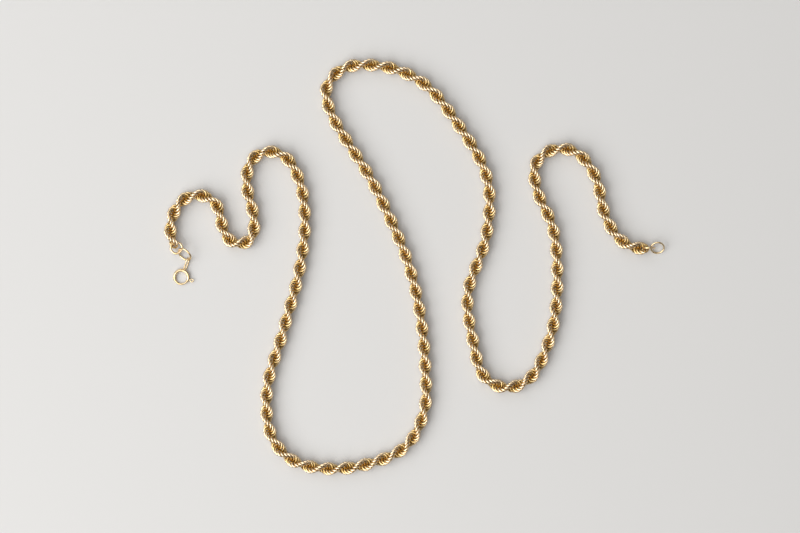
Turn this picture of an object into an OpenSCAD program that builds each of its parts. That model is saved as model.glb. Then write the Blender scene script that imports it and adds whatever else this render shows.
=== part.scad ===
// Gold rope chain necklace, laid open on a flat surface.
// X runs to the right, Y away from the viewer, Z up; the origin is on the surface,
// under the middle of the whole piece.

/* [Layout] */
// Distance between the rope's two ends as the necklace lies, from left to right
laid_w = 168; // [150:1:190]
// Distance from the rope's nearest turn to its furthest one
laid_d = 143.5; // [125:0.5:160]

/* [Rope] */
// Width of the rope across its two lobes, which is also the outer diameter of a link
rope_w = 4.8; // [4:0.1:5.2]
// Thickness of the rope across its flats
rope_t = 2.8; // [2.2:0.1:3.4]
// Wire of a link
link_wire = 0.76; // [0.6:0.01:0.85]
// Half turns of the two lobes between the end links
half_turns = 106.5; // [90:0.5:120]
// Clearance between the rope and its end links
end_gap = 0.12; // [0.05:0.01:0.3]
// Length over which the rope narrows at its ends
end_taper = 2.4; // [1:0.1:4]

/* [Left jump ring] */
// Outer diameter of the jump ring that carries the clasp
left_ring_d = 5.7; // [5.2:0.1:6.4]
// Its wire
left_ring_wire = 0.64; // [0.5:0.01:0.75]
// Slope of its plane against the surface, in degrees
left_ring_slope = 52; // [40:1:65]
// Direction in which it lies from the end link, in degrees
left_ring_turn = -39; // [-55:1:-25]

/* [Right jump ring] */
// Outer diameter of the jump ring that the clasp hooks into
right_ring_d = 5.2; // [4.8:0.1:6]
// Its wire
right_ring_wire = 0.6; // [0.5:0.01:0.7]
// Slope of its plane against the surface, in degrees
right_ring_slope = 36; // [25:1:50]

/* [Clasp] */
// Outer diameter of the spring ring
clasp_d = 6; // [5.6:0.1:6.6]
// Wire of the tongue that closes the mouth
tongue_wire = 0.64; // [0.5:0.01:0.7]
// Clearance between the tongue and the bore of the ring's tube
tongue_play = 0.08; // [0.05:0.01:0.12]
// Wall of the ring's tube
tube_wall = 0.13; // [0.1:0.01:0.2]
// Azimuth of the eye's foot as the clasp lies, in degrees
clasp_turn = 65; // [50:1:80]
// Angle from the eye to the near side of the mouth, in degrees
mouth_from = 104; // [95:1:115]
// Angle from the eye to the far side of the mouth, in degrees
mouth_to = 218; // [200:1:230]
// How far the tongue's tip reaches into the far side, in degrees
tip_depth = 7; // [4:1:12]

/* [Trigger] */
// Angle from the eye to the trigger with the mouth shut, in degrees
trigger_from = 83; // [80:1:90]
// Travel of the trigger, in degrees
trigger_travel = 60; // [40:1:60]
// Length of the trigger's loop
trigger_l = 1.5; // [1.2:0.1:1.8]
// Width of the trigger's loop
trigger_w = 1.25; // [1:0.05:1.5]
// Wire of the trigger's loop and stem
trigger_wire = 0.36; // [0.25:0.01:0.42]
// Clearance of the stem in its slot, and of the loop from the ring
trigger_play = 0.1; // [0.05:0.01:0.15]

/* [Eye] */
// Length of the eye from the ring to its far end
eye_l = 4.7; // [3.8:0.1:5]
// Width of the eye's loop
eye_w = 2.2; // [1.9:0.05:2.6]
// Wire of the eye
eye_wire = 0.5; // [0.4:0.01:0.6]
// Turn of the eye from the line through its foot, in degrees
eye_skew = 6; // [0:1:15]
// Lean of the eye's loop from upright, in degrees
eye_lean = 22; // [10:1:30]
// Width of the solder at the eye's foot
solder_w = 0.9; // [0.6:0.05:1]
// Height of the solder at the eye's foot
solder_h = 0.7; // [0.4:0.05:0.9]

/* [Play] */
// Clearance between wires that hang in each other
wire_play = 0.12; // [0.05:0.01:0.15]

/* [Hidden] */

// The rope's route from the left end link to the right one: points on its middle line
drawn = [
    [-84.5, 7], [-86.5, 10.5], [-86, 18], [-82.5, 24], [-76.5, 26], [-70.2, 22.7],
    [-68.5, 15.5], [-66, 9.6], [-61.8, 8], [-57.8, 9.9], [-56.9, 17], [-59.6, 30],
    [-58, 38.2], [-52.2, 41.5], [-45.4, 39.2], [-41, 31.5], [-38.8, 18], [-40.4, 1],
    [-46.5, -22.5], [-52.5, -46], [-50.1, -61.5], [-43.2, -68.8], [-32, -71.5], [-16, -69.8],
    [-2.6, -63.5], [3.7, -51], [4, -36], [-3.3, 5], [-8.4, 17], [-15.7, 32], [-23.8, 44.8],
    [-29.2, 54], [-31.4, 64], [-26, 70.5], [-14.5, 72], [2, 66.5], [15.5, 51], [26.2, 31],
    [25.7, 11], [19, -10], [21, -26.2], [25.7, -39.9], [33, -43], [40.3, -40.3],
    [47.7, -27], [51, -3], [49, 15.5], [43.5, 28], [43, 37], [49, 42], [57, 41.5],
    [64, 33.5], [68.5, 17], [73.7, 9.4], [79.5, 6.7], [83.5, 7]];
drawn_w = drawn[len(drawn) - 1].x - drawn[0].x;
drawn_d = max([for (p = drawn) p.y]) - min([for (p = drawn) p.y]);
route = [for (p = drawn) [p.x*laid_w/drawn_w, p.y*laid_d/drawn_d]];
// Length over which the route's corners are eased
route_ease = 3;
// Points worked out on each stretch of the route
route_steps = 12;
// Rings in each half turn of the rope, and corners in each ring
rings_per_half_turn = 6;
section_sides = 8;
// Share of the rope's section that is left at its tapered ends
end_share = 0.55;
// Fineness of the round wires
$fn = 48;
gold = [0.86, 0.70, 0.42];

rope_z = rope_w/2;
link_r = (rope_w - link_wire)/2;
left_ring_r = (left_ring_d - left_ring_wire)/2;
right_ring_r = (right_ring_d - right_ring_wire)/2;
bore_d = tongue_wire + 2*tongue_play;
tube_d = bore_d + 2*tube_wall;
tube_r = (clasp_d - tube_d)/2;
slot_w = trigger_wire + 2*trigger_play;
trigger_at = clasp_d/2 + trigger_play + trigger_l/2;

// Middle line of the route, by cubic stretches between its points
last = len(route) - 1;
function chord(i) = norm(route[i + 1] - route[i]);
function slope_after(i) = (route[i + 1] - route[i])/chord(i);
function heading(i) =
    i == 0 ? slope_after(0) :
    i == last ? slope_after(last - 1) :
    (chord(i)*slope_after(i - 1) + chord(i - 1)*slope_after(i))/(chord(i - 1) + chord(i));
function stretch(i, t) =
    (2*t^3 - 3*t^2 + 1)*route[i] + (t^3 - 2*t^2 + t)*chord(i)*heading(i) +
    (3*t^2 - 2*t^3)*route[i + 1] + (t^3 - t^2)*chord(i)*heading(i + 1);
line = concat([for (i = [0:last - 1]) for (k = [0:route_steps - 1]) stretch(i, k/route_steps)],
              [route[last]]);
run = [for (i = 0, s = 0; i < len(line);
            i = i + 1, s = s + (i < len(line) ? norm(line[i] - line[i - 1]) : 0)) s];
line_x = [for (i = [0:len(line) - 1]) [run[i], line[i].x]];
line_y = [for (i = [0:len(line) - 1]) [run[i], line[i].y]];
route_l = run[len(run) - 1];
function on_line(s) = [lookup(s, line_x), lookup(s, line_y)];
function middle(s) =
    let (ease = min(route_ease, s, route_l - s))
    (on_line(s - ease) + 2*on_line(s) + on_line(s + ease))/4;
function direction(s) =
    let (step = 0.2, d = middle(min(s + step, route_l)) - middle(max(s - step, 0)))
    d/norm(d);

// The rope: a two-lobed section that turns to the left as it runs
rope_from = rope_w/2 + end_gap;
rope_to = route_l - rope_from;
ring_count = round(half_turns*(rope_to - rope_from)/route_l*rings_per_half_turn);
function twist(s) = -180*half_turns*s/route_l;
function taper(s) =
    let (t = min(1, (s - rope_from)/end_taper, (rope_to - s)/end_taper))
    end_share + (1 - end_share)*sin(90*max(t, 0));
function rope_ring(s) =
    let (c = middle(s), d = direction(s), side = [-d.y, d.x], a = twist(s), k = taper(s))
    [for (j = [0:section_sides - 1])
        let (u = 360*j/section_sides, p = k*rope_w/2*cos(u), q = k*rope_t/2*sin(u),
             across = p*cos(a) - q*sin(a), up = p*sin(a) + q*cos(a))
        [c.x + across*side.x, c.y + across*side.y, rope_z + up]];
rope_points = [for (i = [0:ring_count])
    each rope_ring(rope_from + (rope_to - rope_from)*i/ring_count)];
rope_faces = concat(
    [[for (j = [0:section_sides - 1]) j]],
    [for (i = [0:ring_count - 1]) for (j = [0:section_sides - 1])
        let (a = i*section_sides, b = a + section_sides, k = (j + 1) % section_sides)
        each [[a + j, b + k, a + k], [a + j, b + j, b + k]]],
    [[for (j = [section_sides - 1:-1:0]) ring_count*section_sides + j]]);

// The left jump ring hangs in the left end link and rests on the surface
left_link_at = [route[0].x, route[0].y, rope_z];
left_ring_dir = [cos(left_ring_turn), sin(left_ring_turn), 0];
left_ring_up = [-sin(left_ring_turn)*cos(left_ring_slope),
                cos(left_ring_turn)*cos(left_ring_slope), sin(left_ring_slope)];
left_hang = link_r - (link_wire + left_ring_wire)/2 - wire_play;
left_ring_z = left_ring_r*sin(left_ring_slope) + left_ring_wire/2;
left_ring_at = [left_link_at.x, left_link_at.y, left_ring_z]
    + (left_hang + left_ring_r)*left_ring_dir;

// The right jump ring hangs in the right end link and rests on the surface
right_link_at = [route[last].x, route[last].y, rope_z];
right_ring_z = right_ring_r*sin(right_ring_slope) + right_ring_wire/2;
right_hang = link_r - (link_wire + right_ring_wire/cos(right_ring_slope))/2 - wire_play;
right_ring_at = [right_link_at.x + sqrt(right_hang^2 - (rope_z - right_ring_z)^2) + right_ring_r,
                 right_link_at.y, right_ring_z];

// The clasp lies on the far side of its ring and on its eye, so it slopes a little
eye_foot = clasp_d/2 - eye_wire/2;
eye_half_rise = (eye_w - eye_wire)/2*cos(eye_lean) + eye_wire/2;
clasp_slope = asin((eye_half_rise - tube_d/2)/(tube_r + eye_foot + eye_w/2));
clasp_z = tube_d/2 + tube_r*sin(clasp_slope);
// The left jump ring's wire runs through the middle of the eye's round far end
eye_reach = eye_l + eye_wire/2 - eye_w/2;
eye_hold = [eye_foot + eye_reach*cos(eye_skew), eye_reach*sin(eye_skew)];
hold_z = clasp_z + eye_hold.x*sin(clasp_slope);
hold_angle = asin((hold_z - left_ring_z)/(left_ring_r*sin(left_ring_slope)));
hold_at = left_ring_at + left_ring_r*(cos(hold_angle)*left_ring_dir + sin(hold_angle)*left_ring_up);
clasp_at = [hold_at.x - eye_hold.x*cos(clasp_slope)*cos(clasp_turn) + eye_hold.y*sin(clasp_turn),
            hold_at.y - eye_hold.x*cos(clasp_slope)*sin(clasp_turn) - eye_hold.y*cos(clasp_turn),
            clasp_z];

module wire_ring(r, wire) {
    rotate_extrude()
        translate([r, 0])
            circle(d = wire);
}

// A closed loop of wire with round ends and straight sides, its near end at the origin
module wire_loop(length, width, wire) {
    r = (width - wire)/2;
    straight = length - width;
    translate([width/2, 0, 0]) {
        rotate(90)
            rotate_extrude(angle = 180)
                translate([r, 0])
                    circle(d = wire);
        translate([straight, 0, 0])
            rotate(-90)
                rotate_extrude(angle = 180)
                    translate([r, 0])
                        circle(d = wire);
        for (side = [-1, 1])
            translate([0, side*r, 0])
                rotate([0, 90, 0])
                    cylinder(d = wire, h = straight);
    }
}

module rope() {
    color(gold)
        polyhedron(points = rope_points, faces = rope_faces, convexity = 10);
}

module end_link_left() {
    color(gold)
        translate(left_link_at)
            wire_ring(link_r, link_wire);
}

module end_link_right() {
    color(gold)
        translate(right_link_at)
            rotate([90, 0, 0])
                wire_ring(link_r, link_wire);
}

module jump_ring_left() {
    color(gold)
        translate(left_ring_at)
            rotate([0, 0, left_ring_turn])
                rotate([left_ring_slope, 0, 0])
                    wire_ring(left_ring_r, left_ring_wire);
}

module jump_ring_right() {
    color(gold)
        translate(right_ring_at)
            rotate([right_ring_slope, 0, 0])
                wire_ring(right_ring_r, right_ring_wire);
}

// Puts a piece drawn in the clasp's own plane, with its eye along X, where the clasp lies
module clasp_place() {
    translate(clasp_at)
        rotate([0, 0, clasp_turn])
            rotate([0, -clasp_slope, 0])
                children();
}

module clasp_eye() {
    rotate([0, 0, eye_skew])
        rotate([90 - eye_lean, 0, 0])
            wire_loop(eye_l + eye_wire/2, eye_w, eye_wire);
}

module clasp_ring() {
    slot_half = asin(slot_w/clasp_d);
    color(gold)
        clasp_place()
            difference() {
                union() {
                    rotate(-mouth_from)
                        rotate_extrude(angle = 360 - mouth_to + mouth_from)
                            translate([tube_r, 0])
                                circle(d = tube_d);
                    translate([tube_r, 0, 0])
                        rotate([0, 90, 0])
                            cylinder(d1 = solder_w, d2 = eye_wire, h = tube_d/2 + solder_h);
                    translate([eye_foot, 0, 0])
                        clasp_eye();
                }
                wire_ring(tube_r, bore_d);
                rotate(-trigger_from - slot_half)
                    rotate_extrude(angle = trigger_travel + 2*slot_half)
                        translate([tube_r, -slot_w/2])
                            square([tube_d, slot_w]);
            }
}

module clasp_tongue() {
    back = asin(trigger_wire/tube_r);
    tip = mouth_to + tip_depth;
    color(gold)
        clasp_place() {
            rotate(-tip)
                rotate_extrude(angle = tip - trigger_from + back)
                    translate([tube_r, 0])
                        circle(d = tongue_wire);
            rotate(-tip)
                translate([tube_r, 0, 0])
                    sphere(d = tongue_wire);
            rotate(-trigger_from) {
                translate([tube_r, 0, 0])
                    rotate([0, 90, 0])
                        cylinder(d = trigger_wire, h = trigger_at - tube_r - trigger_l/2 + trigger_wire/2);
                translate([trigger_at - trigger_l/2, 0, 0])
                    wire_loop(trigger_l, trigger_w, trigger_wire);
            }
        }
}

rope();
end_link_left();
end_link_right();
jump_ring_left();
jump_ring_right();
clasp_ring();
clasp_tongue();
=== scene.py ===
"""Looks of a gold rope chain necklace that lies open on a pale board, seen from straight above."""

import bpy
import numpy as np
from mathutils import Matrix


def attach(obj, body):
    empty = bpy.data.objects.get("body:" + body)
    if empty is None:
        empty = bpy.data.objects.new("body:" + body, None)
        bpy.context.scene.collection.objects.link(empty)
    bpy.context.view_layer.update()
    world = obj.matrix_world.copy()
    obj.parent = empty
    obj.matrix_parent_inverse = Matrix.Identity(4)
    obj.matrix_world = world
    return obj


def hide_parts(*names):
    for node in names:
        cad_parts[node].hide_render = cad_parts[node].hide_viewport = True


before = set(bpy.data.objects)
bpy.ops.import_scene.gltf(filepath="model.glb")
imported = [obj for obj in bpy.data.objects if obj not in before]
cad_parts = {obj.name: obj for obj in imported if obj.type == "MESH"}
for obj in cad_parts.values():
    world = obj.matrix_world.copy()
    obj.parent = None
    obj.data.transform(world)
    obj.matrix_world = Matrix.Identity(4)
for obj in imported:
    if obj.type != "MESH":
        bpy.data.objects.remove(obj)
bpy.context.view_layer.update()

# The photograph is taken from straight above. Its 800 x 533 pixels span 284.5 mm across at the
# rope's middle height, and its centre lies a little to the left of the necklace's own middle.
IMAGE_SPAN = 0.2845
LOOK_AT = (-0.00498, 0.00036)
CAMERA_HEIGHT = 0.90
ROPE_HEIGHT = 0.0024
FILM_WIDTH = 36.0

camera = bpy.data.cameras.new("overhead")
camera.sensor_width = FILM_WIDTH
camera.lens = FILM_WIDTH*(CAMERA_HEIGHT - ROPE_HEIGHT)/IMAGE_SPAN
camera_stand = bpy.data.objects.new("overhead", camera)
camera_stand.location = (*LOOK_AT, CAMERA_HEIGHT)
bpy.context.collection.objects.link(camera_stand)
bpy.context.scene.camera = camera_stand

# The rope is a chain of oval rings of polished gold wire, each soldered shut and hung through
# the three before it. A ring's plane runs along the rope and is turned 24.5 degrees to the left
# of the ring before, so that the rings show as two lobes that wind round each other.
LINKS = 782
LINK_WIRE = 0.00076
LINK_HALF_WIDTH = 0.00202
LINK_HALF_LENGTH = 0.001585
HALF_TURNS = 106.5
LINK_SIDES = 16
WIRE_SIDES = 6

# The route of the rope's middle line, the same points as in the solid model, in millimetres: it
# starts in the left end link, winds twice down and up to the right, and ends in the right one.
MILLIMETRE = 0.001
ROUTE = MILLIMETRE*np.array([
    [-84.5, 7], [-86.5, 10.5], [-86, 18], [-82.5, 24], [-76.5, 26], [-70.2, 22.7],
    [-68.5, 15.5], [-66, 9.6], [-61.8, 8], [-57.8, 9.9], [-56.9, 17], [-59.6, 30],
    [-58, 38.2], [-52.2, 41.5], [-45.4, 39.2], [-41, 31.5], [-38.8, 18], [-40.4, 1],
    [-46.5, -22.5], [-52.5, -46], [-50.1, -61.5], [-43.2, -68.8], [-32, -71.5], [-16, -69.8],
    [-2.6, -63.5], [3.7, -51], [4, -36], [-3.3, 5], [-8.4, 17], [-15.7, 32], [-23.8, 44.8],
    [-29.2, 54], [-31.4, 64], [-26, 70.5], [-14.5, 72], [2, 66.5], [15.5, 51], [26.2, 31],
    [25.7, 11], [19, -10], [21, -26.2], [25.7, -39.9], [33, -43], [40.3, -40.3],
    [47.7, -27], [51, -3], [49, 15.5], [43.5, 28], [43, 37], [49, 42], [57, 41.5],
    [64, 33.5], [68.5, 17], [73.7, 9.4], [79.5, 6.7], [83.5, 7]])
ROUTE_STEPS = 12
ROUTE_EASE = 0.003
HEADING_REACH = 0.0002


def smooth_line(points, steps):
    """A cubic Hermite stretch between each two points, its tangents weighted by chord length."""
    gap = np.diff(points, axis=0)
    chord = np.linalg.norm(gap, axis=1)[:, None]
    slope = gap/chord
    inner = (chord[1:]*slope[:-1] + chord[:-1]*slope[1:])/(chord[1:] + chord[:-1])
    heading = np.vstack([slope[:1], inner, slope[-1:]])
    t = np.arange(steps)[None, :, None]/steps
    start, end = points[:-1, None], points[1:, None]
    leave, arrive = (chord*heading[:-1])[:, None], (chord*heading[1:])[:, None]
    line = ((2*t**3 - 3*t**2 + 1)*start + (t**3 - 2*t**2 + t)*leave
            + (3*t**2 - 2*t**3)*end + (t**3 - t**2)*arrive)
    return np.vstack([line.reshape(-1, 2), points[-1:]])


line = smooth_line(ROUTE, ROUTE_STEPS)
run = np.concatenate([[0.0], np.cumsum(np.linalg.norm(np.diff(line, axis=0), axis=1))])
route_length = run[-1]


def middle(s):
    """The smooth line at length s, eased: half of it there, a quarter a little before and after."""
    ease = np.clip(np.minimum(s, route_length - s), 0, ROUTE_EASE)

    def at(place):
        return np.stack([np.interp(place, run, line[:, 0]), np.interp(place, run, line[:, 1])], -1)

    return (at(s - ease) + 2*at(s) + at(s + ease))/4


# The route has a place for each link and each jump ring. At both ends the first place is the end
# link's and the next the jump ring's. The loose rings have the other places, and shift and turn
# a little in each other, but not near the jump rings.
JUMP_RINGS = 2
TAKEN_PLACES = 2
HELD_LINKS = 2
SHIFT_PLAY = 0.00004
TURN_PLAY = np.radians(2.0)
TONE_PLAY = 0.06
CHANCE_SEED = 3

places = LINKS + JUMP_RINGS
steps = np.arange(TAKEN_PLACES, places - TAKEN_PLACES)
count = len(steps)
place = route_length*steps/(places - 1)
chance = np.random.default_rng(CHANCE_SEED)
loose = (steps >= steps[0] + HELD_LINKS) & (steps <= steps[-1] - HELD_LINKS)
place = place + loose*chance.uniform(-SHIFT_PLAY, SHIFT_PLAY, count)
turn = -np.pi*HALF_TURNS*place/route_length + loose*chance.uniform(-TURN_PLAY, TURN_PLAY, count)

before = np.maximum(place - HEADING_REACH, 0)
after = np.minimum(place + HEADING_REACH, route_length)
ahead = middle(after) - middle(before)
ahead /= np.linalg.norm(ahead, axis=1)[:, None]
centre = np.column_stack([middle(place), np.full(count, ROPE_HEIGHT)])
forward = np.column_stack([ahead, np.zeros(count)])
across = np.column_stack([-np.cos(turn)*ahead[:, 1], np.cos(turn)*ahead[:, 0], np.sin(turn)])


def rings(centre, first, second, width, length, wire, sides, wire_sides):
    """Oval rings, with half width W and half length L to the wire's middle: centre + (W^2 cos a
    first + L^2 sin a second)/h + r cos b (cos a first + sin a second) + r sin b (first x second).
    r is half the wire, a is the way that the wire's outside faces, b goes round the wire, and h
    is the root of (W cos a)^2 + (L sin a)^2."""
    a = np.linspace(0, 2*np.pi, sides, endpoint=False)[None, :, None]
    b = np.linspace(0, 2*np.pi, wire_sides, endpoint=False)[None, None, :, None]
    out = np.cos(a)*first[:, None] + np.sin(a)*second[:, None]
    axis = np.cross(first, second)[:, None, None]
    oval = width**2*np.cos(a)*first[:, None] + length**2*np.sin(a)*second[:, None]
    oval /= np.hypot(width*np.cos(a), length*np.sin(a))
    points = (centre[:, None, None] + oval[:, :, None] + wire/2*np.cos(b)*out[:, :, None]
              + wire/2*np.sin(b)*axis)
    side, edge = np.meshgrid(np.arange(sides), np.arange(wire_sides), indexing="ij")
    next_side, next_edge = (side + 1) % sides, (edge + 1) % wire_sides
    quads = np.stack([side*wire_sides + edge, next_side*wire_sides + edge,
                      next_side*wire_sides + next_edge, side*wire_sides + next_edge], -1)
    first_corner = np.arange(len(centre))*sides*wire_sides
    quads = quads.reshape(1, -1, 4) + first_corner[:, None, None]
    return points.reshape(-1, 3), quads.reshape(-1, 4)


def make_piece(name, points, quads):
    """A smooth-shaded mesh object in the scene, at the origin."""
    mesh = bpy.data.meshes.new(name)
    mesh.from_pydata(points.tolist(), [], quads.tolist())
    mesh.polygons.foreach_set("use_smooth", np.ones(len(quads), dtype=bool))
    piece = bpy.data.objects.new(name, mesh)
    bpy.context.collection.objects.link(piece)
    return piece


points, quads = rings(centre, across, forward, LINK_HALF_WIDTH, LINK_HALF_LENGTH, LINK_WIRE,
                      LINK_SIDES, WIRE_SIDES)
rope = make_piece("rope_links", points, quads)

# How far out a point lies from the middle line, up to 1 on the outermost wire, and a little more
# or less on each ring, so that no two have quite the same tone. It sets the painted shade that
# darkens the rope's wires deep inside it.
corners = LINK_SIDES*WIRE_SIDES
along = np.repeat(forward, corners, axis=0)
off = points - np.repeat(centre, corners, axis=0)
off -= (off*along).sum(1)[:, None]*along
outward = np.linalg.norm(off, axis=1)/(LINK_HALF_WIDTH + LINK_WIRE/2)
outward += np.repeat(chance.uniform(-TONE_PLAY, TONE_PLAY, count), corners)
rope.data.attributes.new("outward", "FLOAT", "POINT").data.foreach_set("value", outward)

# All of the gold has fine wear, which makes its shine uneven, and soft clouds of darker and
# paler tone. The rope's tones run from a painted shade deep between the wires to bright on the
# outside.
WEAR_SCALE = 6000.0
WEAR_DETAIL = 3.0
WEAR_DEPTH = 0.00002
WEAR_STRENGTH = 0.10
WEAR_DULLS = 0.22
RECESS_DULLS = 0.10
CLOUD_SCALE = 700.0
CLOUD_DETAIL = 2.0
CLOUD_SHARE = 0.25
# The first of these tones is painted shade, for the wires deep between the others.
PAINTED_SHADE_GOLD = (0.50, 0.32, 0.10, 1)
WARM_GOLD = (0.80, 0.58, 0.27, 1)
BRIGHT_GOLD = (0.95, 0.75, 0.50, 1)
# The painted shade is full below the first of these shares of the way out and gone above the second.
PAINTED_SHADE_BELOW = 0.28
UNSHADED_ABOVE = 0.88
ROPE_GLOSS = 0.05


class Value:
    """A socket of a material, on which arithmetic adds Math nodes."""

    def __init__(self, finish, socket):
        self.finish, self.socket = finish, socket

    def _math(self, operation, first, second):
        return self.finish.node("ShaderNodeMath", {"operation": operation}, {0: first, 1: second})

    def __add__(self, other):
        return self._math("ADD", self, other)

    def __radd__(self, other):
        return self._math("ADD", other, self)

    def __sub__(self, other):
        return self._math("SUBTRACT", self, other)

    def __rsub__(self, other):
        return self._math("SUBTRACT", other, self)

    def __mul__(self, other):
        return self._math("MULTIPLY", self, other)

    def __rmul__(self, other):
        return self._math("MULTIPLY", other, self)


class Finish:
    """A material with one Principled shader, whose patterns read Object coordinates."""

    def __init__(self, name):
        self.material = bpy.data.materials.new(name)
        self.material.use_nodes = True
        self.tree = self.material.node_tree
        self.shader = self.tree.nodes["Principled BSDF"]

    def put(self, socket, value):
        """Links a Value to the socket, or sets the socket to a constant."""
        if isinstance(value, Value):
            self.tree.links.new(value.socket, socket)
        else:
            socket.default_value = value

    def node(self, kind, settings=None, inputs=None, output=0, stops=None):
        """A node of this kind with its settings, ramp stops and inputs, as the output's Value."""
        made = self.tree.nodes.new(kind)
        for name, value in (settings or {}).items():
            setattr(made, name, value)
        if stops:
            ramp = made.color_ramp.elements
            while len(ramp) < len(stops):
                ramp.new(0.5)
            for element, (position, colour) in zip(ramp, stops):
                element.position, element.color = position, colour
        for name, value in (inputs or {}).items():
            self.put(made.inputs[name], value)
        return Value(self, made.outputs[output])

    def noise(self, scale, detail):
        """Soft noise from 0 to 1 in the piece's own space."""
        where = self.node("ShaderNodeTexCoord", output="Object")
        return self.node("ShaderNodeTexNoise", {}, {"Vector": where, "Scale": scale, "Detail": detail})

    def set(self, **sockets):
        """Sets the shader's sockets, with _ for the space in a socket's name."""
        for name, value in sockets.items():
            self.put(self.shader.inputs[name.replace("_", " ")], value)

    def polish(self, shade, tones, gloss):
        """Polished gold: shade picks its tone and dulls its recesses, fine wear marks its shine. On
        the rope, shade is painted shade deep between the wires plus random clouds; elsewhere only
        clouds.
        """
        wear = self.noise(WEAR_SCALE, WEAR_DETAIL)
        tone = self.node("ShaderNodeValToRGB", inputs={"Fac": shade}, stops=tones)
        marks = self.node("ShaderNodeBump", {}, {
            "Height": wear, "Strength": WEAR_STRENGTH, "Distance": WEAR_DEPTH})
        dull = gloss + wear*WEAR_DULLS + (1 - shade)*RECESS_DULLS
        self.set(Base_Color=tone, Metallic=1.0, Roughness=dull, Normal=marks)


rope_gold = Finish("rope_gold")
# Painted shade: the rope's tone darkens from its outermost wires to those deep inside it.
out = rope_gold.node("ShaderNodeAttribute", {"attribute_name": "outward"}, output="Fac")
unshaded = rope_gold.node("ShaderNodeMapRange", {}, {
    "Value": out, "From Min": PAINTED_SHADE_BELOW, "From Max": UNSHADED_ABOVE})
clouds = rope_gold.noise(CLOUD_SCALE, CLOUD_DETAIL) - 0.5
rope_gold.polish(
    unshaded + clouds*CLOUD_SHARE, [(0.0, PAINTED_SHADE_GOLD), (0.5, WARM_GOLD), (1.0, BRIGHT_GOLD)], ROPE_GLOSS)
rope.data.materials.append(rope_gold.material)
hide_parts("rope")
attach(rope, "necklace")

# The end links are the rope's first and last ring, round ones of the same gold wire as the oval
# ones. They hang free of the lay, so all of their wire is as bright as the outside of the rope.
CLOUD_LOW = 0.30
CLOUD_HIGH = 0.60

end_gold = Finish("end_link_gold")
end_gold.polish(end_gold.noise(CLOUD_SCALE, CLOUD_DETAIL), [
    (CLOUD_LOW, WARM_GOLD), (CLOUD_HIGH, BRIGHT_GOLD)], ROPE_GLOSS)


def show_solid(name, finish):
    """Gives the node of this name, which is shown as it is in the solid model, its finish."""
    for material_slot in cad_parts[name].material_slots:
        material_slot.material = finish.material


show_solid("end_link_left", end_gold)
show_solid("end_link_right", end_gold)

# The two jump rings are bought-in rings of a slightly paler polished gold wire. One goes
# through the rope's last link and the clasp's eye, the other only through the rope's last link.
FINDING_DEEP = (0.72, 0.50, 0.23, 1)
FINDING_BRIGHT = (0.93, 0.75, 0.48, 1)
FINDING_GLOSS = 0.03

finding_gold = Finish("finding_gold")
finding_gold.polish(finding_gold.noise(CLOUD_SCALE, CLOUD_DETAIL), [
    (CLOUD_LOW, FINDING_DEEP), (CLOUD_HIGH, FINDING_BRIGHT)], FINDING_GLOSS)
show_solid("jump_ring_left", finding_gold)
show_solid("jump_ring_right", finding_gold)

# The clasp is a spring ring of the same gold: a curved tube with its eye soldered on, and in
# it the thinner tongue that closes the mouth and carries the trigger's small loop.
show_solid("clasp_ring", finding_gold)
show_solid("clasp_tongue", finding_gold)

# The necklace lies on a plain pale board, matt and nearly white, which is large enough to run
# past every view and is no part of the object.
BOARD_HALF = 4.0
BOARD_COLOUR = (0.66, 0.653, 0.640, 1)
BOARD_ROUGHNESS = 0.6

board_corners = BOARD_HALF*np.array([[-1, -1, 0], [1, -1, 0], [1, 1, 0], [-1, 1, 0]])
floor = make_piece("floor", board_corners, np.array([[0, 1, 2, 3]]))
board = Finish("pale_board")
board.set(Base_Color=BOARD_COLOUR, Roughness=BOARD_ROUGHNESS)
floor.data.materials.append(board.material)
bpy.context.scene.view_settings.view_transform = "Standard"

# Soft studio light: a large panel overhead, a stronger one at the lower left, whose light runs
# along the lay of the rope, a weaker one at the upper left and a faint one at the right.
ROOM_TINT = (1.0, 0.96, 0.92, 1)
ROOM_STRENGTH = 0.16

world = bpy.data.worlds.new("studio")
bpy.context.scene.world = world
world.use_nodes = True
room = world.node_tree.nodes["Background"]
room.inputs["Color"].default_value = ROOM_TINT
room.inputs["Strength"].default_value = ROOM_STRENGTH


def panel(name, place, width, height, radiance):
    """A rectangular light that faces the origin; its watts are pi times area times radiance."""
    light = bpy.data.lights.new(name, "AREA")
    light.shape, light.size, light.size_y = "RECTANGLE", width, height
    light.energy = np.pi*width*height*radiance
    lamp = bpy.data.objects.new(name, light)
    lamp.location = place
    x, y, z = place
    lamp.rotation_euler = (np.arctan2(np.hypot(x, y), z), 0, np.arctan2(x, -y))
    bpy.context.collection.objects.link(lamp)


panel("overhead", place=(-0.30, -0.20, 1.90), width=2.0, height=2.0, radiance=1.3)
panel("key", place=(-1.06, -0.61, 1.03), width=2.0, height=1.2, radiance=3.3)
panel("second", place=(-0.70, 1.00, 1.03), width=1.4, height=1.1, radiance=1.2)
panel("fill", place=(1.20, 0.40, 0.80), width=1.2, height=1.0, radiance=0.15)
